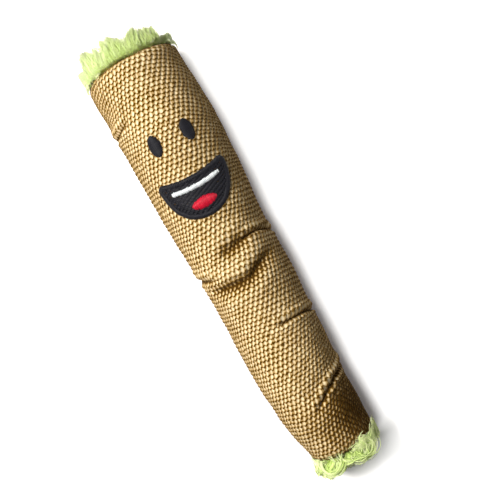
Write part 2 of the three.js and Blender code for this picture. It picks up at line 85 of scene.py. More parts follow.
def addLamps():
    turn = math.radians(camera["turn"])
    for name, lamp in lamps.items():
        data = bpy.data.lights.new(name, "AREA")
        data.shape = "DISK"
        data.size = lamp["size"] * mm
        data.energy = lamp["power"]
        data.color = lamp["color"]
        x, y, z = lamp["place"]
        across = x * math.cos(turn) - y * math.sin(turn)
        along = x * math.sin(turn) + y * math.cos(turn)
        place = Vector((across, along, z)) * mm
        light = bpy.data.objects.new(name, data)
        light.location = toyMiddle + place
        light.rotation_euler = (-place).to_track_quat("-Z", "Y").to_euler()
        scene.collection.objects.link(light)


# Materials: a wire is an output socket that takes sums, and a paint is a material under construction.

class Wire:
    def __init__(self, paint, socket):
        self.paint = paint
        self.socket = socket

    def maths(self, operation, *values):
        return self.paint.node("ShaderNodeMath", {"operation": operation}, values)

    def all(self, *names):
        return {name: Wire(self.paint, self.socket.node.outputs[name]) for name in names}

    def __add__(self, other):
        return self.maths("ADD", self, other)

    def __radd__(self, other):
        return self.maths("ADD", other, self)

    def __sub__(self, other):
        return self.maths("SUBTRACT", self, other)

    def __rsub__(self, other):
        return self.maths("SUBTRACT", other, self)

    def __mul__(self, other):
        return self.maths("MULTIPLY", self, other)

    def __rmul__(self, other):
        return self.maths("MULTIPLY", other, self)

    def __pow__(self, other):
        return self.maths("POWER", self, other)


class Paint:
    def __init__(self, name, world=None):
        self.material = world or bpy.data.materials.new(name)
        self.material.use_nodes = True
        self.tree = self.material.node_tree
        self.tree.nodes.clear()

    def node(self, kind, settings=None, values=(), out=0):
        made = self.tree.nodes.new(kind)
        for key, value in (settings or {}).items():
            if key == "stops":
                ramp = made.color_ramp
                while len(ramp.elements) < len(value):
                    ramp.elements.new(0.5)
                for element, (place, color) in zip(ramp.elements, value):
                    element.position = place
                    element.color = (*color, 1)
            else:
                setattr(made, key, value)
        pairs = values.items() if isinstance(values, dict) else enumerate(values)
        for key, value in pairs:
            socket = made.inputs[key]
            if isinstance(value, Wire):
                self.tree.links.new(value.socket, socket)
            elif socket.type == "RGBA":
                socket.default_value = (*value[:3], 1)
            else:
                socket.default_value = value
        return Wire(self, made.outputs[out]) if made.outputs else made

    def noise(self, place, scale, detail=2, roughness=0.5):
        values = {"Vector": place, "Scale": scale, "Detail": detail, "Roughness": roughness}
        return self.node("ShaderNodeTexNoise", None, values)

    def value(self, name):  # a number that the mesh holds for each point
        return self.node("ShaderNodeAttribute", {"attribute_name": name}, out=2)

    def stretch(self, place, scale):
        return self.node("ShaderNodeMapping", None, {"Vector": place, "Scale": scale})

    def mix(self, factor, first, second):
        settings = {"data_type": "RGBA", "blend_type": "MIX", "clamp_factor": True}
        return self.node("ShaderNodeMix", settings, {0: factor, 6: first, 7: second}, 2)

    def ramp(self, value, *stops):
        return self.node("ShaderNodeValToRGB", {"stops": stops}, [value])

    def bump(self, height, strength, distance):
        values = {"Height": height, "Strength": strength, "Distance": distance}
        return self.node("ShaderNodeBump", None, values)

    def surface(self, **values):
        sockets = {key.replace("_", " "): value for key, value in values.items()}
        shader = self.node("ShaderNodeBsdfPrincipled", None, sockets)
        self.node("ShaderNodeOutputMaterial", None, {"Surface": shader})
        return self.material


def clothPaint(weave):
    paint = Paint("jute weave")
    threads = paint.node("ShaderNodeUVMap", {"uv_map": "weave"})
    parts = paint.node("ShaderNodeSeparateXYZ", None, [threads]).all("X", "Y")
    place = paint.node("ShaderNodeTexCoord", out=3)
    fuzz = paint.noise(place, weave["fuzzScale"], 3, 0.6)
    fibre = paint.noise(paint.stretch(place, (1, 0.45, 1)), weave["fibreScale"], 3, 0.7)

    def crown(x, kind):  # the nearest crown of one thread system, and the tint of its cell
        y = parts["Y"]
        rise, fall = (x + y) * 0.5, (x - y) * 0.5 + 0.5
        riseCell, fallCell = rise.maths("FLOOR", rise), fall.maths("FLOOR", fall)
        riseOff, fallOff = rise - riseCell - 0.5, fall - fallCell - 0.5
        across, along = (riseOff + fallOff) * weave["warpPitch"], (riseOff - fallOff) * weave["rowPitch"]
        slant = math.radians(weave[kind + "Slant"])
        long = (across * math.cos(slant) + along * math.sin(slant)) * (1 / weave[kind + "Length"])
        wide = (along * math.cos(slant) - across * math.sin(slant)) * (1 / weave[kind + "Width"])
        edge = 1 - (long * long + wide * wide) * (0.75 + fuzz * 0.5)
        cell = paint.node("ShaderNodeCombineXYZ", None, [riseCell, fallCell, 0.0])
        tint = paint.node("ShaderNodeTexWhiteNoise", {"noise_dimensions": "3D"}, {"Vector": cell})
        return edge.maths("MAXIMUM", edge, 0.0) ** weave["crownPower"], tint

    warp, warpTint = crown(parts["X"], "warp")
    weft = crown(parts["X"] + 1, "weft")[0] * weave["weftHeight"]
    height = warp.maths("MAXIMUM", warp, weft)
    blotch = paint.noise(place, weave["blotchScale"], 3)
    # painted shade: darker in the fold valleys and on a patch near the foot, a little lighter on the fold
    # lips
    crease = paint.value("crease")
    level = height + (fibre - 0.5) * weave["fibre"] + (warpTint - 0.5) * warp * weave["tint"]
    level = level + (blotch - 0.5) * weave["blotch"] - crease * weave["paintedShadeGain"]
    # the colour ramp paints shade into the gaps between the yarns
    return paint.surface(
        Base_Color=paint.ramp(level, *weave["colors"]), Roughness=0.9, Specular_IOR_Level=0.04,
        Sheen_Weight=weave["fuzz"], Sheen_Roughness=0.5, Sheen_Tint=weave["fuzzColor"],
        Normal=paint.bump(height + fibre * 0.15, weave["bump"], 0.001))


def threadPaint(name, dark, light, sheen=0.1, roughness=0.42, shine=0.5):
    paint = Paint(name)
    along = paint.node("ShaderNodeUVMap", {"uv_map": "strand"})
    tint = paint.value("tint")
    twist = paint.noise(paint.stretch(along, (14, 5, 1)), 2, 3, 0.6)
    color = paint.mix(twist * 0.6 + tint * 0.4, dark, light)
    return paint.surface(
        Base_Color=color, Roughness=roughness, Specular_IOR_Level=shine,
        Sheen_Weight=sheen, Sheen_Roughness=0.4, Normal=paint.bump(twist, 0.35, 0.00008))


def plushPaint(name, root, middle, tip, soak):
    paint = Paint(name)
    along = paint.value("along")
    tint = paint.value("tint")
    # darker towards the roots: painted shade deep in the pile
    color = paint.ramp(along + (tint - 0.5) * 0.35, (0.0, root), (0.4, middle), (1.0, tip))
    return paint.surface(
        Base_Color=color, Roughness=0.6, Specular_IOR_Level=0.3, Sheen_Weight=0.3, Sheen_Roughness=0.45,
        Sheen_Tint=(0.9, 1, 0.6), Subsurface_Weight=soak, Subsurface_Radius=(1, 1, 0.8),
        Subsurface_Scale=0.002)


def softPaint(name, dark, light, scale, depth):
    paint = Paint(name)
    place = paint.node("ShaderNodeTexCoord", out=3)
    fluff = paint.noise(place, scale, 6, 0.7)
    return paint.surface(
        Base_Color=paint.mix(fluff, dark, light), Roughness=0.95, Specular_IOR_Level=0.1,
        Normal=paint.bump(fluff, 0.8, depth))


def addFloor():
    paint = Paint("floor")
    seen = paint.node("ShaderNodeLightPath")
    lit = paint.node("ShaderNodeBsdfDiffuse", None, {"Color": surround["floorColor"]})
    samples = {"samples": surround["shadeSamples"]}
    clear, wide = (
        paint.node("ShaderNodeAmbientOcclusion", samples, {"Distance": surround[reach]}, 1)
        for reach in ("contact", "under"))
    place = paint.node("ShaderNodeTexCoord", out=3)
    parts = paint.node("ShaderNodeSeparateXYZ", None, [place]).all("X", "Y")
    along = parts["Y"] - toyMiddle.y
    along = along.maths("ABSOLUTE", along) - surround["underAlong"]
    across = parts["X"] - toyMiddle.x + surround["underLeft"]
    ends = paint.node("ShaderNodeClamp", None, [along * surround["alongGain"]])
    right = paint.node("ShaderNodeClamp", None, [across * surround["leftGain"]])
    # painted shadow: the floor's glow darkens where occlusion is high beside the toy, and more widely under
    # the tufts right of the middle
    under = ends * right * (1.0 - wide)
    clear = clear.maths("MINIMUM", clear, 1.0 - under)
    shade = paint.ramp(clear, *surround["contactShade"])
    glow = paint.node("ShaderNodeEmission", None, {"Color": shade, "Strength": surround["floorGlow"]})
    pale = paint.node("ShaderNodeBsdfDiffuse", None, {"Color": surround["seenColor"]})
    both = paint.node("ShaderNodeAddShader", None, [pale, glow])
    shown = paint.node("ShaderNodeMixShader", None, [seen, lit, both])
    paint.node("ShaderNodeOutputMaterial", None, {"Surface": shown})
    bpy.ops.object.select_all(action="DESELECT")
    bpy.ops.mesh.primitive_plane_add(size=surround["floorSize"], location=(0, 0, 0))
    floor = bpy.context.object
    floor.name = "floor"
    floor.data.materials.append(paint.material)


def addWorld():
    scene.world = bpy.data.worlds.new("surround")
    paint = Paint("surround", scene.world)
    path = seen = paint.node("ShaderNodeLightPath")  # its first output is the camera ray
    for ray in ("Is Glossy Ray", "Is Transmission Ray"):
        seen = seen.maths("MAXIMUM", seen, path.all(ray)[ray])
    dim, white = (
        paint.node("ShaderNodeBackground", None, {"Color": color, "Strength": strength})
        for color, strength in ((surround["color"], surround["level"]), ((1, 1, 1), 1)))
    mixed = paint.node("ShaderNodeMixShader", None, [seen, dim, white])
    paint.node("ShaderNodeOutputWorld", None, {"Surface": mixed})


# The stuffed form

toy = {
    "halfLength": 87.9, "footRadius": 13.2, "browRadius": 19.4, "sideDrift": 1.7,
    "shoulder": 3.4, "hem": 3.0, "restFlat": 0.5, "seamTurn": 0.8 * math.pi, "seamDip": 0.7,
    "seamWidth": 1.6, "calmReach": 14, "lumps": [(0.2, 46, 3), (0.07, 15, 4)], "blend": 9,
    "girth": [  # share of the length, share of the way from foot radius to brow radius
        (0, 0), (0.034, 0.13), (0.062, 0.24), (0.09, 0.37), (0.125, 0.465), (0.159, 0.475),
        (0.193, 0.56), (0.3, 0.555), (0.363, 0.6), (0.409, 0.675), (0.5, 0.72), (0.546, 0.77),
        (0.591, 0.81), (0.637, 0.87), (0.682, 0.9), (0.728, 0.955), (0.773, 1.045), (0.819, 1.095),
        (0.864, 1.065), (0.91, 1.005), (1, 0.96),
    ],
    "drift": [  # share of the length, share of the side drift
        (0, 1), (0.034, 0.85), (0.062, 0.5), (0.09, 0.36), (0.125, 0.04), (0.159, -0.23),
        (0.227, -0.37), (0.272, -0.2), (0.318, -0.05), (0.409, 0.25), (0.5, 0.04), (0.546, -0.21),
        (0.591, -0.14), (0.637, 0.06), (0.682, 0.27), (0.773, 0.38), (0.819, 0.43), (0.864, 0.25),
        (0.91, 0.27), (0.955, 0), (1, 0),
    ],
}
folds = [  # path points: degrees from the top line, millimetres along, share of the depth
    {"path": [(-118, 63.4, 0.5), (-75, 64.3, 1), (-56, 65.3, 0.9), (-34, 66.8, 0)],
     "depth": 1.9, "above": 1.3, "below": 1.0, "lip": 0.35, "lean": 1.0},
    {"path": [(18, 5.7, 0), (26, 6.3, 0.7), (34, 6.5, 1), (48, 6.35, 1), (66, 5.4, 1), (85, 4.1, 1),
              (110, 3, 0.5)],
     "depth": 2.0, "above": 1.1, "below": 0.9, "lip": 0.35, "lean": 0.9},
    {"path": [(-18, 3.2, 0), (-7, 4.1, 0.8), (6, 4.9, 1), (18, 5.7, 1), (30, 6.4, 0.5), (44, 6.5, 0)],
     "depth": 1.7, "above": 2.7, "below": 2.4, "lip": 0.3, "lean": 0.4},
    {"path": [(-112, 0.9, 0.6), (-86, -0.7, 1), (-58, -2.3, 0.8), (-37, -3.7, 0.4), (-24, -4.4, 0)],
     "depth": 2.0, "above": 1.6, "below": 1.2, "lip": 0.35, "lean": 1.0},
    {"path": [(-62, -6.9, 0), (-42, -8, 0.9), (-16, -8.8, 1), (3, -8.9, 1), (17, -6.8, 1), (32, -5.1, 0.75),
              (47, -3.6, 0.3), (64, -2, 0)],
     "depth": 2.2, "above": 2.3, "below": 2.7, "lip": 0.3, "lean": 0.3},
    {"path": [(2, -30.6, 0), (14, -30.3, 0.5), (26, -30.2, 1), (43, -30.4, 1), (80, -31.7, 1),
              (112, -32.6, 0.5)],
     "depth": 2.0, "above": 1.1, "below": 0.9, "lip": 0.35, "lean": 0.9},
    {"path": [(-8, -68.5, 0), (2, -66, 0.35), (14, -64, 0.7), (23, -62.2, 1), (44, -59, 1), (80, -56.2, 1),
              (110, -54, 0.5)],
     "depth": 2.5, "above": 1.2, "below": 0.95, "lip": 0.4, "lean": 1.0},
]
# in widths of the fold: where its lips stand, and where the cloth leans over most
foldShape = {"valleyPower": 1.6, "lipPlace": 2.0, "lowerLip": 0.5, "leanPlace": 1.0}
turnedPatch = {"turn": 62, "along": -70.6, "reach": 10, "angle": -26, "dip": 0.6}
# a patch near the foot painted darker as shade
paintedShadePatch = {"turn": 40, "along": -75, "reach": 14, "shade": 1.5}


def smoothTable(pairs, count=704, reach=40):  # a table of places and shares with its corners rounded
    at = np.linspace(-toy["halfLength"], toy["halfLength"], count)
    share = at / (2 * toy["halfLength"]) + 0.5
    raw = np.interp(share, [p[0] for p in pairs], [p[1] for p in pairs])
    steps = np.arange(-reach, reach + 1)
    weights = np.exp(-((steps / toy["blend"]) ** 2))
    padded = np.pad(raw, reach, mode="edge")
    return at, np.convolve(padded, weights / weights.sum(), mode="valid")


girthTable, driftTable = smoothTable(toy["girth"]), smoothTable(toy["drift"])


def girthAt(y):
    return toy["footRadius"] + (toy["browRadius"] - toy["footRadius"]) * np.interp(y, *girthTable)


def driftAt(y):
    return toy["sideDrift"] * np.interp(y, *driftTable)


def softNoise(points, size, seed, count=16):
    rng = np.random.default_rng(seed)
    total = np.zeros(points.shape[:-1])
    for _ in range(count):
        wave = rng.normal(size=3)
        wave *= math.tau / size * rng.uniform(0.6, 1.5) / np.linalg.norm(wave)
        total += np.sin(points @ wave + rng.uniform(0, math.tau))
    return total / math.sqrt(count / 2)


def addNoises(points, waves, start=0):  # waves hold a share, a size and a seed each
    return sum((share * softNoise(points, size, seed) for share, size, seed in waves), start)


def unit(vectors):
    return vectors / np.maximum(np.linalg.norm(vectors, axis=-1, keepdims=True), 1e-9)


def patchNear(patch, arc, y):  # 1 on the middle of the patch
    fromArc = arc - math.radians(patch["turn"]) * float(girthAt(patch["along"]))
    fromY = y - patch["along"]
    return np.exp(-(fromArc ** 2 + fromY ** 2) / patch["reach"] ** 2), fromArc, fromY


def foldField(arc, y):  # how far the cloth dips, and how far it slides round and along
    dip, slideArc, slideY = np.zeros_like(arc), np.zeros_like(arc), np.zeros_like(arc)
    for fold in folds:
        points = [(math.radians(turn) * float(girthAt(at)), at, share) for turn, at, share in fold["path"]]
        best = np.full_like(arc, 1e9)
        side, share, acrossArc, acrossY = (np.zeros_like(arc) for _ in range(4))
        for (a0, y0, w0), (a1, y1, w1) in zip(points, points[1:]):
            runArc, runY = a1 - a0, y1 - y0
            length = math.hypot(runArc, runY)
            t = np.clip(((arc - a0) * runArc + (y - y0) * runY) / length ** 2, 0, 1)
            offArc, offY = arc - a0 - t * runArc, y - y0 - t * runY
            distance = np.hypot(offArc, offY)
            nearer = distance < best
            best = np.where(nearer, distance, best)
            side = np.where(nearer, np.sign(offY * runArc - offArc * runY), side)
            share = np.where(nearer, w0 + t * (w1 - w0), share)
            acrossArc = np.where(nearer, -runY / length, acrossArc)
            acrossY = np.where(nearer, runArc / length, acrossY)
        away = best * side
        width = np.where(side > 0, fold["above"], fold["below"])
        valley = np.exp(-((best / width) ** foldShape["valleyPower"]))
        lips = np.exp(-((away / fold["above"] - foldShape["lipPlace"]) ** 2))
        lowerLips = np.exp(-((away / fold["below"] + foldShape["lipPlace"]) ** 2))
        lips = lips + foldShape["lowerLip"] * lowerLips
        dip += fold["depth"] * share * (valley - fold["lip"] * lips)
        leaning = np.exp(-((away / fold["above"] - foldShape["leanPlace"]) ** 2))
        slide = -fold["lean"] * share * leaning
        slideArc += slide * acrossArc
        slideY += slide * acrossY
    near, fromArc, fromY = patchNear(turnedPatch, arc, y)
    angle = math.radians(turnedPatch["angle"]) * near
    slideArc += (np.cos(angle) - 1) * fromArc - np.sin(angle) * fromY
    slideY += np.sin(angle) * fromArc + (np.cos(angle) - 1) * fromY
    return dip + turnedPatch["dip"] * near, slideArc, slideY


def clothForm(turn, y, lift):  # a place on the cloth's outer face, raised by lift
    turn, y, lift = np.broadcast_arrays(*(np.asarray(v, float) for v in (turn, y, lift)))
    girth = girthAt(y)
    flat = np.stack([girth * np.sin(turn), y, girth * np.cos(turn)], -1)
    arc = turn * girth
    dip, slideArc, slideY = foldField(arc, y)
    calm = np.clip((toy["halfLength"] - np.abs(y)) / toy["calmReach"], 0, 1)
    dip = dip - calm * addNoises(flat, toy["lumps"])
    movedY = y + slideY
    movedTurn = (arc + slideArc) / girth
    seamAway = np.abs((movedTurn - toy["seamTurn"] + math.pi) % math.tau - math.pi) * girth
    seam = toy["seamDip"] * np.exp(-((seamAway / toy["seamWidth"]) ** 2))
    girth = girthAt(movedY)
    radius = girth - dip - seam + lift
    x = driftAt(movedY) + radius * np.sin(movedTurn)
    z = girth - toy["restFlat"] + radius * np.cos(movedTurn)
    return np.stack([x, movedY, np.maximum(z, np.maximum(0, -lift))], -1)


def clothNormals(turn, y, lift):
    step = 0.05
    turnStep = step / girthAt(y)
    around = clothForm(turn + turnStep, y, lift) - clothForm(turn - turnStep, y, lift)
    along = clothForm(turn, y + step, lift) - clothForm(turn, y - step, lift)
    return unit(np.cross(along, around))


# Meshes from arrays

def makeMesh(name, points, faces, uvs, values, material):
    mesh = bpy.data.meshes.new(name)
    points = np.asarray(points, float).reshape(-1, 3) * mm + np.array(toyMiddle)
    mesh.vertices.add(len(points))
    mesh.vertices.foreach_set("co", points.astype(np.float32).ravel())
    sizes = np.concatenate([np.full(len(f), f.shape[1]) for f in faces])
    corners = np.concatenate([f.ravel() for f in faces]).astype(np.int32)
    mesh.loops.add(len(corners))
    mesh.loops.foreach_set("vertex_index", corners)
    mesh.polygons.add(len(sizes))
    starts = np.concatenate([[0], np.cumsum(sizes)[:-1]]).astype(np.int32)
    mesh.polygons.foreach_set("loop_start", starts)
    mesh.polygons.foreach_set("use_smooth", np.ones(len(sizes), bool))
    mesh.update(calc_edges=True)
    for key, uv in uvs.items():
        layer = mesh.uv_layers.new(name=key)
        layer.data.foreach_set("uv", np.asarray(uv, np.float32).reshape(-1, 2)[corners].ravel())
    for key, value in values.items():
        attribute = mesh.attributes.new(key, "FLOAT", "POINT")
        attribute.data.foreach_set("value", np.asarray(value, np.float32).ravel())
    mesh.validate()
    piece = bpy.data.objects.new(name, mesh)
    scene.collection.objects.link(piece)
    mesh.materials.append(material)
    return piece


def gridFaces(rows, columns):
    index = np.arange(rows * columns).reshape(rows, columns)
    corners = [index[:-1, :-1], index[:-1, 1:], index[1:, 1:], index[1:, :-1]]
    return np.stack([c.ravel() for c in corners], -1)


def weld(piece, distance=0.00002):
    work = bmesh.new()
    work.from_mesh(piece.data)
    bmesh.ops.remove_doubles(work, verts=work.verts, dist=distance)
    bmesh.ops.dissolve_degenerate(work, edges=work.edges, dist=distance / 4)
    work.to_mesh(piece.data)
    work.free()


# Woven cover

weaveCloth = {
    "warpPitch": 1.0, "rowPitch": 1.8, "perWarp": 5, "perRow": 7, "seed": 11,
    "crownHeight": 0.75, "sink": 0.45, "crownPower": 0.8, "rowClimb": -0.06, "seamFade": 1.2,
    "boldness": (0.82, 1.08), "boldRepeat": 256,
    "warpSlant": 66, "warpLength": 1.12, "warpWidth": 0.68,
    "weftSlant": 6, "weftLength": 0.9, "weftWidth": 0.6, "weftHeight": 0.42,
    "warpWander": [(0.2, 23, 21), (0.08, 6, 23), (0.1, 2, 25)],
    "rowWander": [(0.16, 23, 22), (0.04, 6, 24), (0.05, 2, 26)],
    # fold depth darkens the colour as painted shade, by the first of the next two numbers and within the
    # range of the second
    "bump": 0.45, "paintedShadeGain": 0.27, "creaseRange": (-0.3, 2.5), "tint": 0.26,
    "fuzz": 0.14, "fuzzColor": (1, 0.76, 0.42), "fuzzScale": 900,
    "fibre": 0.4, "fibreScale": 2600, "blotch": 0.2, "blotchScale": 55,
    # colours by level: dark brown in the gaps between the yarns as painted shade, up to pale tan on the
    # crowns
    "colors": [(0.0, (0.055, 0.024, 0.002)), (0.22, (0.19, 0.102, 0.012)), (0.45, (0.45, 0.315, 0.145)),
               (0.74, (0.62, 0.49, 0.285)), (1.0, (0.75, 0.645, 0.43))],
}
# How much the rows climb towards one side of the top line: slope, where it starts, how soon, along
rowTilts = [
    {"slope": -0.3, "from": 5, "over": 4, "side": 1, "along": (28, 56, 200, 201)},
    {"slope": 0.4, "from": 10, "over": 3, "side": -1, "along": (60, 74, 200, 201)},
    {"slope": 0.32, "from": 3, "over": 4, "side": 1, "along": (-201, -200, -46, -28)},
    {"slope": 0.5, "from": 4, "over": 4, "side": 1, "along": (-201, -200, -74, -58)},
]


def crownField(a, b):  # 1 on the middle of each warp crown, less on the weft between, 0 in the gaps
    weave = weaveCloth
    rng = np.random.default_rng(weave["seed"])
    repeat = weave["boldRepeat"]
    bold = rng.uniform(*weave["boldness"], (repeat, repeat))
    i, j = np.floor(a).astype(int), np.floor(b).astype(int)
    crown = np.zeros_like(a)
    for di in (-1, 0, 1):
        for dj in (-1, 0, 1):
            ci, cj = i + di, j + dj
            up = ((ci + cj) % 2) == 0
            offA, offB = (a - ci - 0.5) * weave["warpPitch"], (b - cj - 0.5) * weave["rowPitch"]
            size = bold[ci % repeat, cj % repeat]
            for kind, shown, most in (("warp", up, size), ("weft", ~up, weave["weftHeight"])):
                slant = math.radians(weave[kind + "Slant"])
                long = (offA * math.cos(slant) + offB * math.sin(slant)) / weave[kind + "Length"]
                wide = (offB * math.cos(slant) - offA * math.sin(slant)) / weave[kind + "Width"]
                edge = np.clip(1 - (long ** 2 + wide ** 2) / size, 0, 1)
                crown = np.maximum(crown, np.where(shown, most * edge ** weave["crownPower"], 0))
    return crown


def rowShift(arc, y):  # how far the rows climb at a place, in millimetres
    climb = weaveCloth["rowClimb"] * arc
    for tilt in rowTilts:
        here = np.interp(y, tilt["along"], (0, 1, 1, 0))
        past = np.logaddexp(0, (tilt["side"] * arc - tilt["from"]) / tilt["over"])
        climb = climb + tilt["slope"] * tilt["side"] * tilt["over"] * here * past
    return climb


def buildCover():
    weave = weaveCloth
    half, shoulder = toy["halfLength"], toy["shoulder"]
    straight = half - shoulder
    bend = shoulder * math.pi / 2
    rows = math.ceil((straight + bend + toy["hem"]) / weave["rowPitch"])
    b = np.arange(-rows * weave["perRow"], rows * weave["perRow"] + 1) / weave["perRow"]
    widest = float(girthAt(np.linspace(-half, half, 200)).max())
    right = math.ceil(widest * toy["seamTurn"] / weave["warpPitch"])
    left = math.ceil(widest * (math.tau - toy["seamTurn"]) / weave["warpPitch"])
    a = np.arange(-left * weave["perWarp"], right * weave["perWarp"] + 1) / weave["perWarp"]
    a, b = np.meshgrid(a, b)
    reach = np.abs(b) * weave["rowPitch"]
    angle = np.clip((reach - straight) / shoulder, 0, math.pi / 2)
    inside = np.clip(reach - straight - bend, 0, None)
    y = np.sign(b) * (np.minimum(reach, straight) + shoulder * np.sin(angle) - inside)
    lift = -shoulder * (1 - np.cos(angle))
    girth = girthAt(y)
    turn = np.clip(a * weave["warpPitch"] / girth, toy["seamTurn"] - math.tau, toy["seamTurn"])
    arc = turn * girth
    places = clothForm(turn, y, lift)
    threadA = addNoises(places, weave["warpWander"], a)
    threadB = addNoises(places, weave["rowWander"], b) - rowShift(arc, y) / weave["rowPitch"]
    crown = crownField(threadA, threadB)
    seamAway = np.minimum(toy["seamTurn"] - turn, turn - toy["seamTurn"] + math.tau) * girth
    raised = crown * np.clip(seamAway / weave["seamFade"], 0, 1)
    along = np.gradient(places, axis=0)
    around = np.gradient(places, axis=1)
    stuck = np.linalg.norm(around, axis=-1, keepdims=True) < 1e-6
    radial = np.stack([np.sin(turn), np.zeros_like(turn), np.cos(turn)], -1)
    normal = unit(np.where(stuck, radial, np.cross(along, around)))
    places = places + normal * (raised * weave["crownHeight"] - weave["sink"])[..., None]
    places[..., 2] = np.maximum(places[..., 2], 0)
    uvs = {
        "OFBake": np.stack([(a - a.min()) / np.ptp(a), (b - b.min()) / np.ptp(b)], -1),
        "weave": np.stack([threadA, threadB], -1),
    }
    # painted shade kept on each point: the fold depth, plus a patch near the foot
    crease = np.clip(foldField(arc, y)[0], *weave["creaseRange"])
    crease = crease + paintedShadePatch["shade"] * patchNear(paintedShadePatch, arc, y)[0]
    cover = makeMesh("woven_cover", places, [gridFaces(*a.shape)], uvs, {"crease": crease}, clothPaint(weave))
    weld(cover)
    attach(cover, "root")
    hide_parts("cover")
    print("cover:", len(cover.data.polygons), "faces")


# Threads and fibres: many tapered strands in one mesh, each with its own cell of the bake map

def tubeFaces(rows, columns):  # quads along a tube of points, with a fan round one point at both ends
    index = np.arange(rows * columns).reshape(rows, columns) + 1
    follow = np.roll(index, -1, axis=1)
    quads = np.stack([index[:-1], follow[:-1], follow[1:], index[1:]], -1).reshape(-1, 4)
    first, last = np.zeros(columns, int), np.full(columns, rows * columns + 1)
    fans = [np.stack([first, follow[0], index[0]], -1), np.stack([last, index[-1], follow[-1]], -1)]
    return quads, np.concatenate(fans)


def strands(paths, ups, radius, sides, flat, seed):
    paths, ups = np.asarray(paths, float), np.asarray(ups, float)
    count, steps = paths.shape[:2]
    rng = np.random.default_rng(seed)
    tangent = unit(np.gradient(paths, axis=1))
    side = unit(np.cross(tangent, ups))
    up = np.cross(side, tangent)
    radius = np.broadcast_to(radius, (count, steps))[:, 1:-1, None, None]
    around = np.arange(sides) / sides * math.tau
    ring = np.cos(around)[:, None] * side[:, 1:-1, None]
    ring = ring + flat * np.sin(around)[:, None] * up[:, 1:-1, None]
    rings = paths[:, 1:-1, None] + radius * ring
    each = (steps - 2) * sides + 2
    points = np.concatenate([paths[:, :1], rings.reshape(count, -1, 3), paths[:, -1:]], 1).reshape(-1, 3)
    quads, tips = tubeFaces(steps - 2, sides)
    shift = (np.arange(count) * each)[:, None, None]
    length = np.cumsum(np.linalg.norm(np.diff(paths, axis=1), axis=-1), 1)
    length = np.concatenate([np.zeros((count, 1)), length], 1)
    share = length / np.maximum(length[:, -1:], 1e-9)
    roundAll = np.concatenate([[0.4], np.tile(np.arange(sides) / sides, steps - 2), [0.4]])

    def spread(v):  # from one value a step to one value a point
        return np.concatenate([v[:, :1], np.repeat(v[:, 1:-1], sides, 1), v[:, -1:]], 1)

    cells = math.ceil(math.sqrt(count))
    cell = np.stack([np.arange(count) % cells, np.arange(count) // cells], -1)[:, None]
    roundAll = np.broadcast_to(roundAll, (count, each))
    inCell = np.stack([0.1 + 0.8 * spread(share), 0.1 + 0.8 * roundAll], -1)
    return {
        "points": points, "faces": [(quads + shift).reshape(-1, 4), (tips + shift).reshape(-1, 3)],
        "strand": np.stack([roundAll, spread(length)], -1).reshape(-1, 2),
        "bake": ((cell + inCell) / cells).reshape(-1, 2),
        "tint": np.repeat(rng.uniform(0, 1, count), each), "along": spread(share).ravel(),
    }


def buildThreads(name, parts, material):  # joins heaps of strands and plain sheets under them
    total, place, faces, bake = 0, 0, [], []
    sizes = [math.sqrt(len(part["points"])) for part in parts]
    for part, size in zip(parts, sizes):  # the parts share the bake map as columns
        faces += [f + total for f in part["faces"]]
        total += len(part["points"])
        share = size / sum(sizes)
        bake.append(part["bake"] * (share * 0.98, 1) + (place + share * 0.01, 0))
        place += share

    def joined(key):
        return np.concatenate([part[key] for part in parts])

    uvs = {"OFBake": np.concatenate(bake), "strand": joined("strand")}
    values = {key: joined(key) for key in ("tint", "along")}
    piece = makeMesh(name, joined("points"), faces, uvs, values, material)
    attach(piece, "root")
    print(name + ":", len(piece.data.polygons), "faces")
    return piece


def loftPart(rings, tint, along):  # a closed form through rings of points, poles at both ends
    rings = np.asarray(rings, float)
    rows, columns = rings.shape[:2]
    poles = rings[[0, -1]].mean(1, keepdims=True)
    points = np.concatenate([poles[0], rings.reshape(-1, 3), poles[1]])
    turn = np.arange(columns) / columns * math.tau
    out = (np.arange(rows) + 1) / (rows + 1) * 0.5
    disc = np.stack([out[:, None] * np.cos(turn), out[:, None] * np.sin(turn)], -1).reshape(-1, 2) + 0.5
    disc = np.concatenate([[(0.5, 0.5)], disc, [(0.99, 0.5)]])
    return {
        "points": points, "faces": list(tubeFaces(rows, columns)), "bake": disc, "strand": points[:, :2],
        "tint": np.full(len(points), tint), "along": np.full(len(points), along),
    }


# Embroidered smile, drawn on the unrolled cloth: millimetres across and along

face = {
    "height": 37.4, "lift": 0.3, "pitch": 0.42, "radius": 0.27, "ragged": 0.16, "crown": 0.55,
    "steps": 9, "root": 0.35, "stray": 0.03,
    "eye": {"width": 5.4, "height": 8.6, "spacing": 14, "rise": 15},
    "mouth": {
        "width": 28, "depth": 16.5, "drop": -0.5, "rim": 2.2,
        "outline": [(-0.5, 0.02), (-0.36, -0.02), (-0.18, -0.08), (0, -0.1), (0.18, -0.08), (0.36, -0.02),
                    (0.5, 0.02), (0.49, -0.25), (0.41, -0.6), (0.24, -0.89), (0, -1), (-0.24, -0.89),
                    (-0.41, -0.6), (-0.49, -0.25)]},
    "fill": {"pitch": 0.5, "stitch": 3.4, "radius": 0.29, "lift": 0.56},
    "teeth": {"width": 20, "height": 1.9, "drop": 3.8, "sag": 1.2},
    "tongue": {"width": 10, "height": 4.8, "rise": 4.7},
}


def onCloth(flat, lift, form=clothForm):  # flat holds pairs of across and along
    return form(flat[..., 0] / girthAt(flat[..., 1]), flat[..., 1], lift)


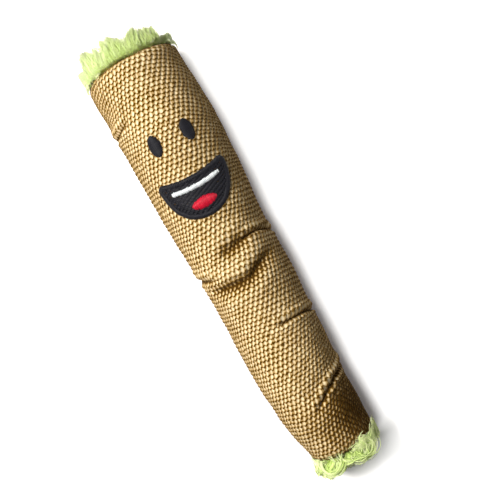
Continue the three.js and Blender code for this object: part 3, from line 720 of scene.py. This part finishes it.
def satin(starts, ends, crown, seed, low=face["lift"], radius=face["radius"]):
    rng = np.random.default_rng(seed)
    starts, ends = np.asarray(starts, float), np.asarray(ends, float)
    run = ends - starts
    length = np.linalg.norm(run, axis=-1, keepdims=True)
    run = run / np.maximum(length, 1e-6)
    starts = starts - run * rng.uniform(-0.4, 1, (len(starts), 1)) * face["ragged"]
    ends = ends + run * rng.uniform(-0.4, 1, (len(ends), 1)) * face["ragged"]
    t = np.linspace(0, 1, face["steps"])
    t = 0.5 - 0.5 * np.cos(t * math.pi) * (0.6 + 0.4 * np.abs(np.cos(t * math.pi)))
    flat = starts[:, None] + (ends - starts)[:, None] * t[:, None]
    flat[..., 0] += rng.normal(0, face["stray"], flat.shape[:2])
    arch = np.sin(math.pi * t) ** 0.55
    lift = low - face["root"] + (face["root"] + np.asarray(crown, float)[..., None]) * arch
    lift = lift + rng.normal(0, face["stray"], (len(starts), 1))
    girth = radius * (0.55 + 0.45 * np.sin(math.pi * np.clip(t, 0.02, 0.98)) ** 0.4)
    return strands(onCloth(flat, lift), onCloth(flat, 0, clothNormals), girth, 5, 0.85, seed)


def underlay(outline, middle, low, high, rings=4):
    outline = np.asarray(outline, float)
    rows, lifts = [], []
    for v in np.linspace(1, 1 / rings, rings):
        rows.append(middle + (outline - middle) * v)
        lifts.append(low + (high - low) * (1 - v * v))
    bottom = [middle + (outline - middle) * v for v in (1 / rings, 0.97)]
    flat = np.array(bottom + rows)
    lift = np.array([low - face["root"]] * 2 + lifts)[:, None] + np.zeros(flat.shape[:2])
    return loftPart(onCloth(flat, lift), 0.1, 0.5)


def smoothLoop(shares, width, depth, count):
    points = np.array([(a * width, b * depth) for a, b in shares])
    before, after, next2 = (np.roll(points, n, axis=0) for n in (1, -1, -2))
    t = np.linspace(0, 1, 41)[:-1][:, None, None]
    curve = 0.5 * (2 * points + (after - before) * t + (2 * before - 5 * points + 4 * after - next2) * t ** 2
                   + (3 * points - before - 3 * after + next2) * t ** 3)
    curve = curve.transpose(1, 0, 2).reshape(-1, 2)
    closed = np.concatenate([curve, curve[:1]])
    length = np.concatenate([[0], np.cumsum(np.linalg.norm(np.diff(closed, axis=0), axis=1))])
    at = np.linspace(0, length[-1], count, endpoint=False)
    return np.stack([np.interp(at, length, closed[:, k]) for k in (0, 1)], -1), length[-1]


def mouthLine(inset, count):
    mouth = face["mouth"]
    line, length = smoothLoop(mouth["outline"], mouth["width"], mouth["depth"], count)
    run = np.roll(line, -1, axis=0) - np.roll(line, 1, axis=0)
    run = unit(run)
    line = line + inset * np.stack([run[:, 1], -run[:, 0]], -1)
    return line + (0, face["height"] + mouth["drop"]), length


def ovalRows(width, height, pitch, upright):
    reach = (width if upright else height) / 2
    at = np.arange(-reach + pitch / 3, reach, pitch)
    half = (height if upright else width) / 2 * np.sqrt(np.clip(1 - (at / reach) ** 2, 0, 1))
    ends = [np.stack([at, s * half], -1) if upright else np.stack([s * half, at], -1) for s in (-1, 1)]
    return ends, 1 - (at / reach) ** 2


def oval(width, height, count=40):
    turn = np.linspace(0, math.tau, count, endpoint=False)
    return np.stack([np.sin(turn) * width / 2, np.cos(turn) * height / 2], -1)


def buildFace():
    black = threadPaint("black thread", (0.001, 0.001, 0.002), (0.009, 0.009, 0.015), 0.0, 0.5, 0.22)
    white = threadPaint("white thread", (0.5, 0.55, 0.58), (0.82, 0.86, 0.88))
    red = threadPaint("red thread", (0.3, 0.001, 0.012), (0.66, 0.006, 0.036), 0.0, 0.45, 0.3)
    eye, mouth = face["eye"], face["mouth"]
    top = face["height"] + mouth["drop"]
    for name, side in (("left", -1), ("right", 1)):
        middle = np.array([side * eye["spacing"] / 2, face["height"] + eye["rise"]])
        ends, high = ovalRows(eye["width"], eye["height"], face["pitch"], False)
        crown = face["crown"] * (0.5 + 0.5 * high)
        parts = [satin(ends[0] + middle, ends[1] + middle, crown, 31 + side),
                 underlay(oval(eye["width"], eye["height"]) + middle, middle, 0.1, 0.5)]
        piece = buildThreads(name + "_eye_stitches", parts, black)
        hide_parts(name + "_eye")
    count = round(mouthLine(mouth["rim"] / 2, 200)[1] / face["pitch"])
    inside, outside = (mouthLine(side * mouth["rim"] / 2, count)[0] for side in (1, -1))
    parts = [satin(inside, outside, np.full(count, face["crown"]), 41)]
    piece = buildThreads("mouth_rim_stitches", parts, black)
    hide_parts("mouth_rim")
    fill = face["fill"]
    starts, ends = [], []
    edge = mouthLine(mouth["rim"] / 2 - 0.5, 400)[0]
    follow = np.roll(edge, -1, axis=0)
    for row, y in enumerate(np.arange(edge[:, 1].min() + 0.3, edge[:, 1].max(), fill["pitch"])):
        cross = (edge[:, 1] > y) != (follow[:, 1] > y)
        a, b = edge[cross], follow[cross]
        xs = np.sort(a[:, 0] + (y - a[:, 1]) / (b[:, 1] - a[:, 1]) * (b[:, 0] - a[:, 0]))
        for low, high in zip(xs[::2], xs[1::2]):
            first = math.floor(low / fill["stitch"]) * fill["stitch"] + (row % 3) * fill["stitch"] / 3
            cuts = [c for c in np.arange(first, high, fill["stitch"]) if low + 0.6 < c < high - 0.6]
            cuts = [low] + cuts + [high]
            starts += [(c, y) for c in cuts[:-1]]
            ends += [(c, y) for c in cuts[1:]]
    middle = np.array([0, top - 0.48 * mouth["depth"]])
    parts = [satin(starts, ends, np.full(len(starts), fill["lift"]), 43, 0.1, fill["radius"]),
             underlay(mouthLine(mouth["rim"] / 2 - 0.3, 60)[0], middle, 0.48, 0.5)]
    piece = buildThreads("mouth_fill_stitches", parts, black)
    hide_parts("mouth_fill")
    teeth = face["teeth"]
    x = np.arange(-teeth["width"] / 2, teeth["width"] / 2, face["pitch"])
    y = top - teeth["drop"] - teeth["sag"] * (1 - (2 * x / teeth["width"]) ** 2)
    ends = [np.stack([x, y + s * teeth["height"] / 2], -1) for s in (-1, 1)]
    high = np.clip((1 - np.abs(2 * x / teeth["width"])) * 8, 0.6, 1)
    parts = [satin(ends[0], ends[1], 0.62 * high, 47, 0.5)]
    piece = buildThreads("teeth_stitches", parts, white)
    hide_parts("teeth")
    tongue = face["tongue"]
    middle = np.array([0, top - mouth["depth"] + tongue["rise"]])
    ends, high = ovalRows(tongue["width"], tongue["height"], face["pitch"], True)
    parts = [satin(ends[0] + middle, ends[1] + middle, 0.45 + 0.3 * high, 53, 0.5),
             underlay(oval(tongue["width"], tongue["height"]) * 0.94 + middle, middle, 0.4, 0.7)]
    piece = buildThreads("tongue_stitches", parts, red)
    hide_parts("tongue")


# Plush tufts: a disc of pile at each end, its fibres in lobes that lean and curl together.
# Outlines hold pairs seen from the camera: millimetres across, millimetres from the middle.
# Over is the share of locks that fold back over the cloth, by the turn from the top line in degrees.

outlineShift = 2.4  # the outlines are measured about a camera this much nearer to the foot
pile = {  # what both tufts share
    "locks": 3, "mostLobes": 120, "outlineAt": 9, "leastReach": 1.5, "hiddenReach": 0.85,
    "topShare": 0.6, "topHalf": 0.62, "lobeStray": 0.03, "lockStray": 0.3, "leanStray": 0.05,
    "longest": 1.04, "evenTop": 1.03, "deepPower": 0.7, "overBend": 3.0, "overPower": 0.6,
    "standBend": (-0.25, 0.1), "bendBy": 0.35, "swing": (0.8, 1.2), "curlPower": 1.4,
    "drapeFrom": 0.4, "rooted": 0.4, "size": (0.7, 1.25), "taper": 0.6,
}
tufts = {
    "brow": {
        "side": 1, "core": 7.5, "coreShare": 0.72, "most": 15.5, "sag": 0.016, "lobeWidth": (7, 15),
        "seed": 61,
        "outline": [(-23, 84), (-21.5, 87), (-20.5, 90), (-19, 91.4), (-16.9, 91.6), (-16.3, 97.6),
                    (-15, 98.5), (-10, 99), (-9, 98.2), (-8.4, 95.8), (-6.9, 95.2), (-6.5, 99.8),
                    (-4, 100.4), (-2.6, 100.6), (-1.2, 98.8), (0, 97.8), (1, 97.2), (1.6, 94.6),
                    (3.3, 94.6), (3.8, 97.6), (5, 98), (9, 97.7), (10.5, 96.6), (12, 95.2), (15, 94.2),
                    (15.4, 89), (17, 88), (18.5, 88.2), (20, 89.4), (21.6, 89), (22.6, 84)],
        "over": [(-180, 0), (-120, 0.1), (-90, 0.35), (-60, 0.25), (-30, 0.08), (-10, 0), (50, 0), (70, 0.2),
                 (90, 0.35), (120, 0.1), (180, 0)],
        "drape": [(-180, 2), (-95, 5.5), (-60, 5), (-15, 4), (50, 4), (90, 6), (180, 2)],
        "beyond": 1.9, "wide": 0.4, "cap": 1.3, "clump": 0.75,
        # root colour darker than the tip as painted shade deep in the pile
        "paint": ("lime plush", (0.7, 0.96, 0.2), (0.8, 0.99, 0.31), (0.87, 0.99, 0.46), 0.6),
        "layers": [
            {"fibres": 4800, "steps": 7, "radius": 0.13, "curl": (0.1, 0.5), "lean": 0.08, "rise": 0.2,
             "ragged": 0.1, "even": 0.93, "deep": 0.26},
            {"fibres": 420, "steps": 8, "radius": 0.11, "curl": (0.1, 1.3), "lean": 0.35, "rise": 0.4,
             "ragged": 0.3, "even": 0.8, "deep": 0.0},
        ],
    },
    "foot": {
        "side": -1, "core": 5, "coreShare": 0.5, "most": 12, "sag": 0.02, "lobeWidth": (12, 24), "seed": 67,
        "outline": [(-15, 86), (-14.2, 93), (-13.2, 95.3), (-11, 95.2), (-9.4, 99), (-7.6, 99), (-5.8, 95.6),
                    (-4, 95.4), (-1, 97.8), (2.6, 98), (4.2, 96.6), (5.6, 93.2), (7.2, 92.8), (8.8, 95.6),
                    (10.4, 98.6), (12.2, 99.2), (12.8, 95), (14, 90.5), (16, 88), (17.5, 86)],
        "over": [(-180, 0), (-110, 0.3), (-80, 0.5), (-60, 0.4), (-40, 0.1), (-25, 0), (2, 0.1), (15, 0.4),
                 (35, 0.7), (75, 0.8), (100, 0.5), (120, 0.3), (180, 0)],
        "drape": [(-180, 2), (-80, 6.5), (-50, 5), (0, 6), (20, 10), (45, 13), (70, 13), (90, 8), (180, 3)],
        "beyond": 0.5, "wide": 1.2, "cap": 0.5, "clump": 0.7,
        # root colour much darker than the tip as painted shade deep in the pile
        "paint": ("lime curls", (0.25, 0.37, 0.04), (0.62, 0.82, 0.23), (0.92, 0.99, 0.54), 0.2),
        "layers": [
            {"fibres": 3900, "steps": 9, "radius": 0.16, "curl": (0.6, 2.2), "lean": 0.25, "rise": 0.3,
             "ragged": 0.28, "even": 0.85, "deep": 0.26},
            {"fibres": 430, "steps": 13, "radius": 0.27, "curl": (1.8, 3.6), "lean": 0.6, "rise": 0.7,
             "ragged": 0.35, "even": 0.8, "deep": 0.0},
        ],
    },
}


def byTurn(table, turn):
    degrees = np.degrees((turn + math.pi) % math.tau - math.pi)
    return np.interp(degrees, [p[0] for p in table], [p[1] for p in table])


def buildTuft(name, tuft):
    rng = np.random.default_rng(tuft["seed"])
    side, half = tuft["side"], toy["halfLength"]
    rim = float(girthAt(side * half))
    mouth = rim - toy["shoulder"]

    def place(radius, turn, out, floor=0.2):
        at = side * (half + np.minimum(out, 0))
        radius = radius + girthAt(at) - rim
        z = girthAt(at) - toy["restFlat"] + radius * np.cos(turn) - tuft["sag"] * np.clip(out, 0, None) ** 2
        return np.stack([driftAt(at) + radius * np.sin(turn), side * (half + out), np.maximum(z, floor)], -1)

    def reachAt(turn):  # how far the pile stands out so that its tips draw the outline in the picture
        upper = np.where(np.cos(turn) > 0, turn, math.pi - turn)
        x, y, z = place(rim + tuft["wide"], upper, pile["outlineAt"] + 0 * turn).T
        shrink = (camera["height"] - z) / camera["distance"]
        seen = np.interp((x - camera["across"]) / shrink + camera["across"], *zip(*tuft["outline"]))
        middle = camera["along"] - outlineShift
        reach = side * (side * seen - middle) * shrink + side * camera["along"] - half
        seenShare = np.where(np.cos(turn) > 0, 1, pile["hiddenReach"])
        return np.clip(reach, pile["leastReach"], tuft["most"]) * seenShare

    # the core under the fibres
    turn = np.linspace(0, math.tau, 90, endpoint=False)
    reach = reachAt(turn) * tuft["coreShare"]
    profile = [  # radius, share of the reach, and how far out besides
        (mouth - 0.4, 0, -0.6), (mouth + 0.4, 0, 0.1), (rim - 1.5, 0.3, 0), (rim - 1.7, 0.7, 0),
        (rim - 2.6, 1, 0), (mouth * 0.75, 0.6, 0.2 * tuft["core"]), (mouth * 0.4, 0.3, 0.5 * tuft["core"]),
    ]
    rings = [place(radius, turn, share * reach + out) for radius, share, out in profile]
    parts = [loftPart(rings[::-1] if side < 0 else rings, 0.4, 0.35)]
    # lobes round the rim, a few locks to a lobe, each lock with its own lean, curl and length
    widths = np.radians(rng.uniform(*tuft["lobeWidth"], pile["mostLobes"]))
    edges = np.cumsum(widths)
    lobes = int(np.searchsorted(edges, math.tau)) + 1
    edges = np.concatenate([[0], edges[:lobes] * math.tau / edges[lobes - 1]])
    for layer in tuft["layers"]:
        count, steps = layer["fibres"], layer["steps"]
        near = rng.uniform(-pile["topHalf"], pile["topHalf"], count)
        atTop = rng.uniform(size=count) < pile["topShare"]
        turn = np.where(atTop, near, rng.uniform(-1, 1, count)) * math.pi
        lobe = np.searchsorted(edges, (turn + rng.normal(0, pile["lobeStray"], count)) % math.tau) - 1
        lobe = np.clip(lobe, 0, lobes - 1)
        width = (edges[1:] - edges[:-1])[lobe] / pile["locks"]
        inLobe = (turn % math.tau - edges[lobe]) / width + rng.normal(0, pile["lockStray"], count)
        inLobe = np.clip(np.floor(inLobe), 0, pile["locks"] - 1).astype(int)
        lock = lobe * pile["locks"] + inLobe
        aside = edges[lobe] + (inLobe + 0.5) * width - turn
        aside = tuft["clump"] * ((aside + math.pi) % math.tau - math.pi)

        def perLock(low, high):
            return rng.uniform(low, high, lobes * pile["locks"])[lock]

        deep = rng.uniform(size=count) < layer["deep"]
        depth = np.where(deep, rng.uniform(0, 1, count) ** pile["deepPower"], 0)
        grown = perLock(1 - layer["ragged"], pile["longest"])
        grown = grown * rng.uniform(layer["even"], pile["evenTop"], count)
        over = (perLock(0, 1) * 0.5 + rng.uniform(0, 0.5, count) < byTurn(tuft["over"], turn)) & ~deep
        bent = pile["overBend"] * rng.uniform(0, 1, count) ** pile["overPower"]
        bent = np.where(over, bent, rng.uniform(*pile["standBend"], count))
        swing = perLock(*layer["curl"]) * rng.choice([-1, 1], lobes * pile["locks"])[lock]
        swing = swing * rng.uniform(*pile["swing"], count)
        lean = perLock(-layer["lean"], layer["lean"]) + rng.normal(0, pile["leanStray"], count)
        rise = layer["rise"] * rng.uniform(0, 1, count)
        t = (np.arange(steps - 1) / (steps - 2))[:, None]
        upward = rise * (1 - t) + bent * np.clip(t / pile["bendBy"], 0, 1)
        sideways = lean + swing * t ** pile["curlPower"]
        outStep = np.cos(upward) * np.cos(sideways)
        upStep = np.sin(upward) * np.cos(sideways)
        sideStep = np.sin(sideways)
        straight = np.maximum(np.cumsum(outStep, 0).max(0), 0.3 * (steps - 1)) / (steps - 1)
        tipTurn = turn + aside + sideStep.mean(0) * reachAt(turn) / straight / rim
        drawn = (1 - pile["drapeFrom"]) * (bent / pile["overBend"]) ** 2
        draped = byTurn(tuft["drape"], turn) * (pile["drapeFrom"] + drawn)
        upright = (reachAt(tipTurn) + tuft["beyond"]) / straight
        length = np.minimum(np.where(over, draped, upright) * grown, tuft["most"] * 1.5)

        def run(step):
            return np.concatenate([np.zeros((1, count)), np.cumsum(step, 0)]) * length / (steps - 1)

        out = run(outStep) - pile["rooted"] + np.where(deep, 0.4 * tuft["core"] * depth, 0)
        went = run(np.ones_like(outStep))
        climb = (rim - mouth - 0.3) * np.clip(went / 2.0, 0, 1) * np.where(deep, 0, 1)
        radius = (mouth + 0.5) * (1 - 0.95 * depth) + run(upStep) * np.where(over, 0.45, 1) + climb
        cap = rim + tuft["cap"] + perLock(0, 0.9) + layer["rise"] * 0.6
        radius = np.where(over & (radius > cap), cap + np.tanh((radius - cap) * 0.5), radius)
        above = np.clip((0.6 - out) / 1.2, 0, 1)
        low, high = rim + 0.75 + layer["radius"], rim + 1.4 + perLock(0, 1.5) + layer["rise"]
        held = np.where(went < 1.4, radius, np.clip(radius, low, high))
        radius = np.where(deep, radius, (1 - above) * radius + above * held)
        share = np.linspace(0, 1, steps)
        turns = turn + run(sideStep) / rim + aside * share[:, None] ** 1.3
        paths = place(radius, turns, out, layer["radius"] + 0.1).transpose(1, 0, 2)
        ups = paths - np.array([driftAt(side * half), side * (half - 4), rim])
        size = layer["radius"] * rng.uniform(*pile["size"], count)[:, None] * (1 - pile["taper"] * share ** 2)
        parts.append(strands(paths, ups, size, 3, 1.0, tuft["seed"] + steps))
    piece = buildThreads(name + "_tuft", parts, plushPaint(*tuft["paint"]))
    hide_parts(name + "_pile")


# Closing stitches on the hidden seam

closing = {
    "middle": -17.6, "length": 58, "pitch": 5.5, "swing": 1.0, "radius": 0.35, "ply": 0.2,
    "plyTurns": 0.9, "lift": 0.3, "plunge": 0.75, "plungeWidth": 0.12, "perStitch": 14,
}


def buildClosing():
    count = round(closing["length"] / closing["pitch"]) * 2
    y = closing["middle"] + closing["length"] * (np.arange(count + 1) / count - 0.5)
    across = np.where(np.arange(count + 1) % 2 == 1, 1, -1) * closing["swing"]
    at = np.linspace(0, count, count * closing["perStitch"] + 1)
    y, across = (np.interp(at, np.arange(count + 1), values) for values in (y, across))
    into = np.exp(-((np.abs(at - np.round(at)) / closing["plungeWidth"]) ** 2))
    lift = closing["lift"] + closing["radius"] - closing["plunge"] * into
    turn = toy["seamTurn"] + across / girthAt(y)
    middle = clothForm(turn, y, lift)
    up = clothNormals(turn, y, lift)
    side = np.cross(unit(np.gradient(middle, axis=0)), up)
    wind = math.tau * closing["plyTurns"] * np.concatenate(
        [[0], np.cumsum(np.linalg.norm(np.diff(middle, axis=0), axis=1))])[:, None]
    offset = closing["radius"] - closing["ply"]
    plies = [middle + offset * (np.cos(wind + p) * side + np.sin(wind + p) * up) for p in (0, math.pi)]
    for ply in plies:
        ply[:, 2] = np.maximum(ply[:, 2], closing["ply"])
    girth = np.full(len(middle), closing["ply"])
    part = strands(np.array(plies), np.array([up, up]), girth, 6, 1, 71)
    sewing = threadPaint("sewing thread", (0.3, 0.2, 0.1), (0.62, 0.47, 0.28))
    piece = buildThreads("closing_stitches", [part], sewing)
    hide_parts("closing_thread")


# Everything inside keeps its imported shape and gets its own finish

def finishInside():
    finishes = [
        (bpy.data.materials["sewing thread"], "seam_overlock_thread", "brow_seam_thread", "foot_seam_thread",
         "sachet_tie"),
        (softPaint("wadding", (0.62, 0.61, 0.58), (0.9, 0.89, 0.86), 350, 0.0006),
         "brow_wad", "sachet_wad", "foot_wad"),
        (softPaint("plush backing", (0.3, 0.45, 0.06), (0.55, 0.72, 0.16), 900, 0.0003),
         "brow_plush_disc", "foot_plush_disc"),
        (softPaint("muslin", (0.5, 0.44, 0.33), (0.78, 0.72, 0.6), 1500, 0.0002), "catnip_sachet"),
        (softPaint("dried herb", (0.07, 0.09, 0.03), (0.33, 0.36, 0.16), 700, 0.001), "catnip"),
        (softPaint("stabiliser sheet", (0.72, 0.72, 0.7), (0.88, 0.88, 0.86), 1200, 0.00008),
         "embroidery_backing"),
    ]
    for material, *names in finishes:
        for name in names:
            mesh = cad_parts[name].data
            mesh.materials.clear()
            mesh.materials.append(material)
        print("inside:", *names)


addCamera()
addLamps()
addFloor()
addWorld()
buildCover()
buildFace()
for name, tuft in tufts.items():
    buildTuft(name, tuft)
buildClosing()
finishInside()
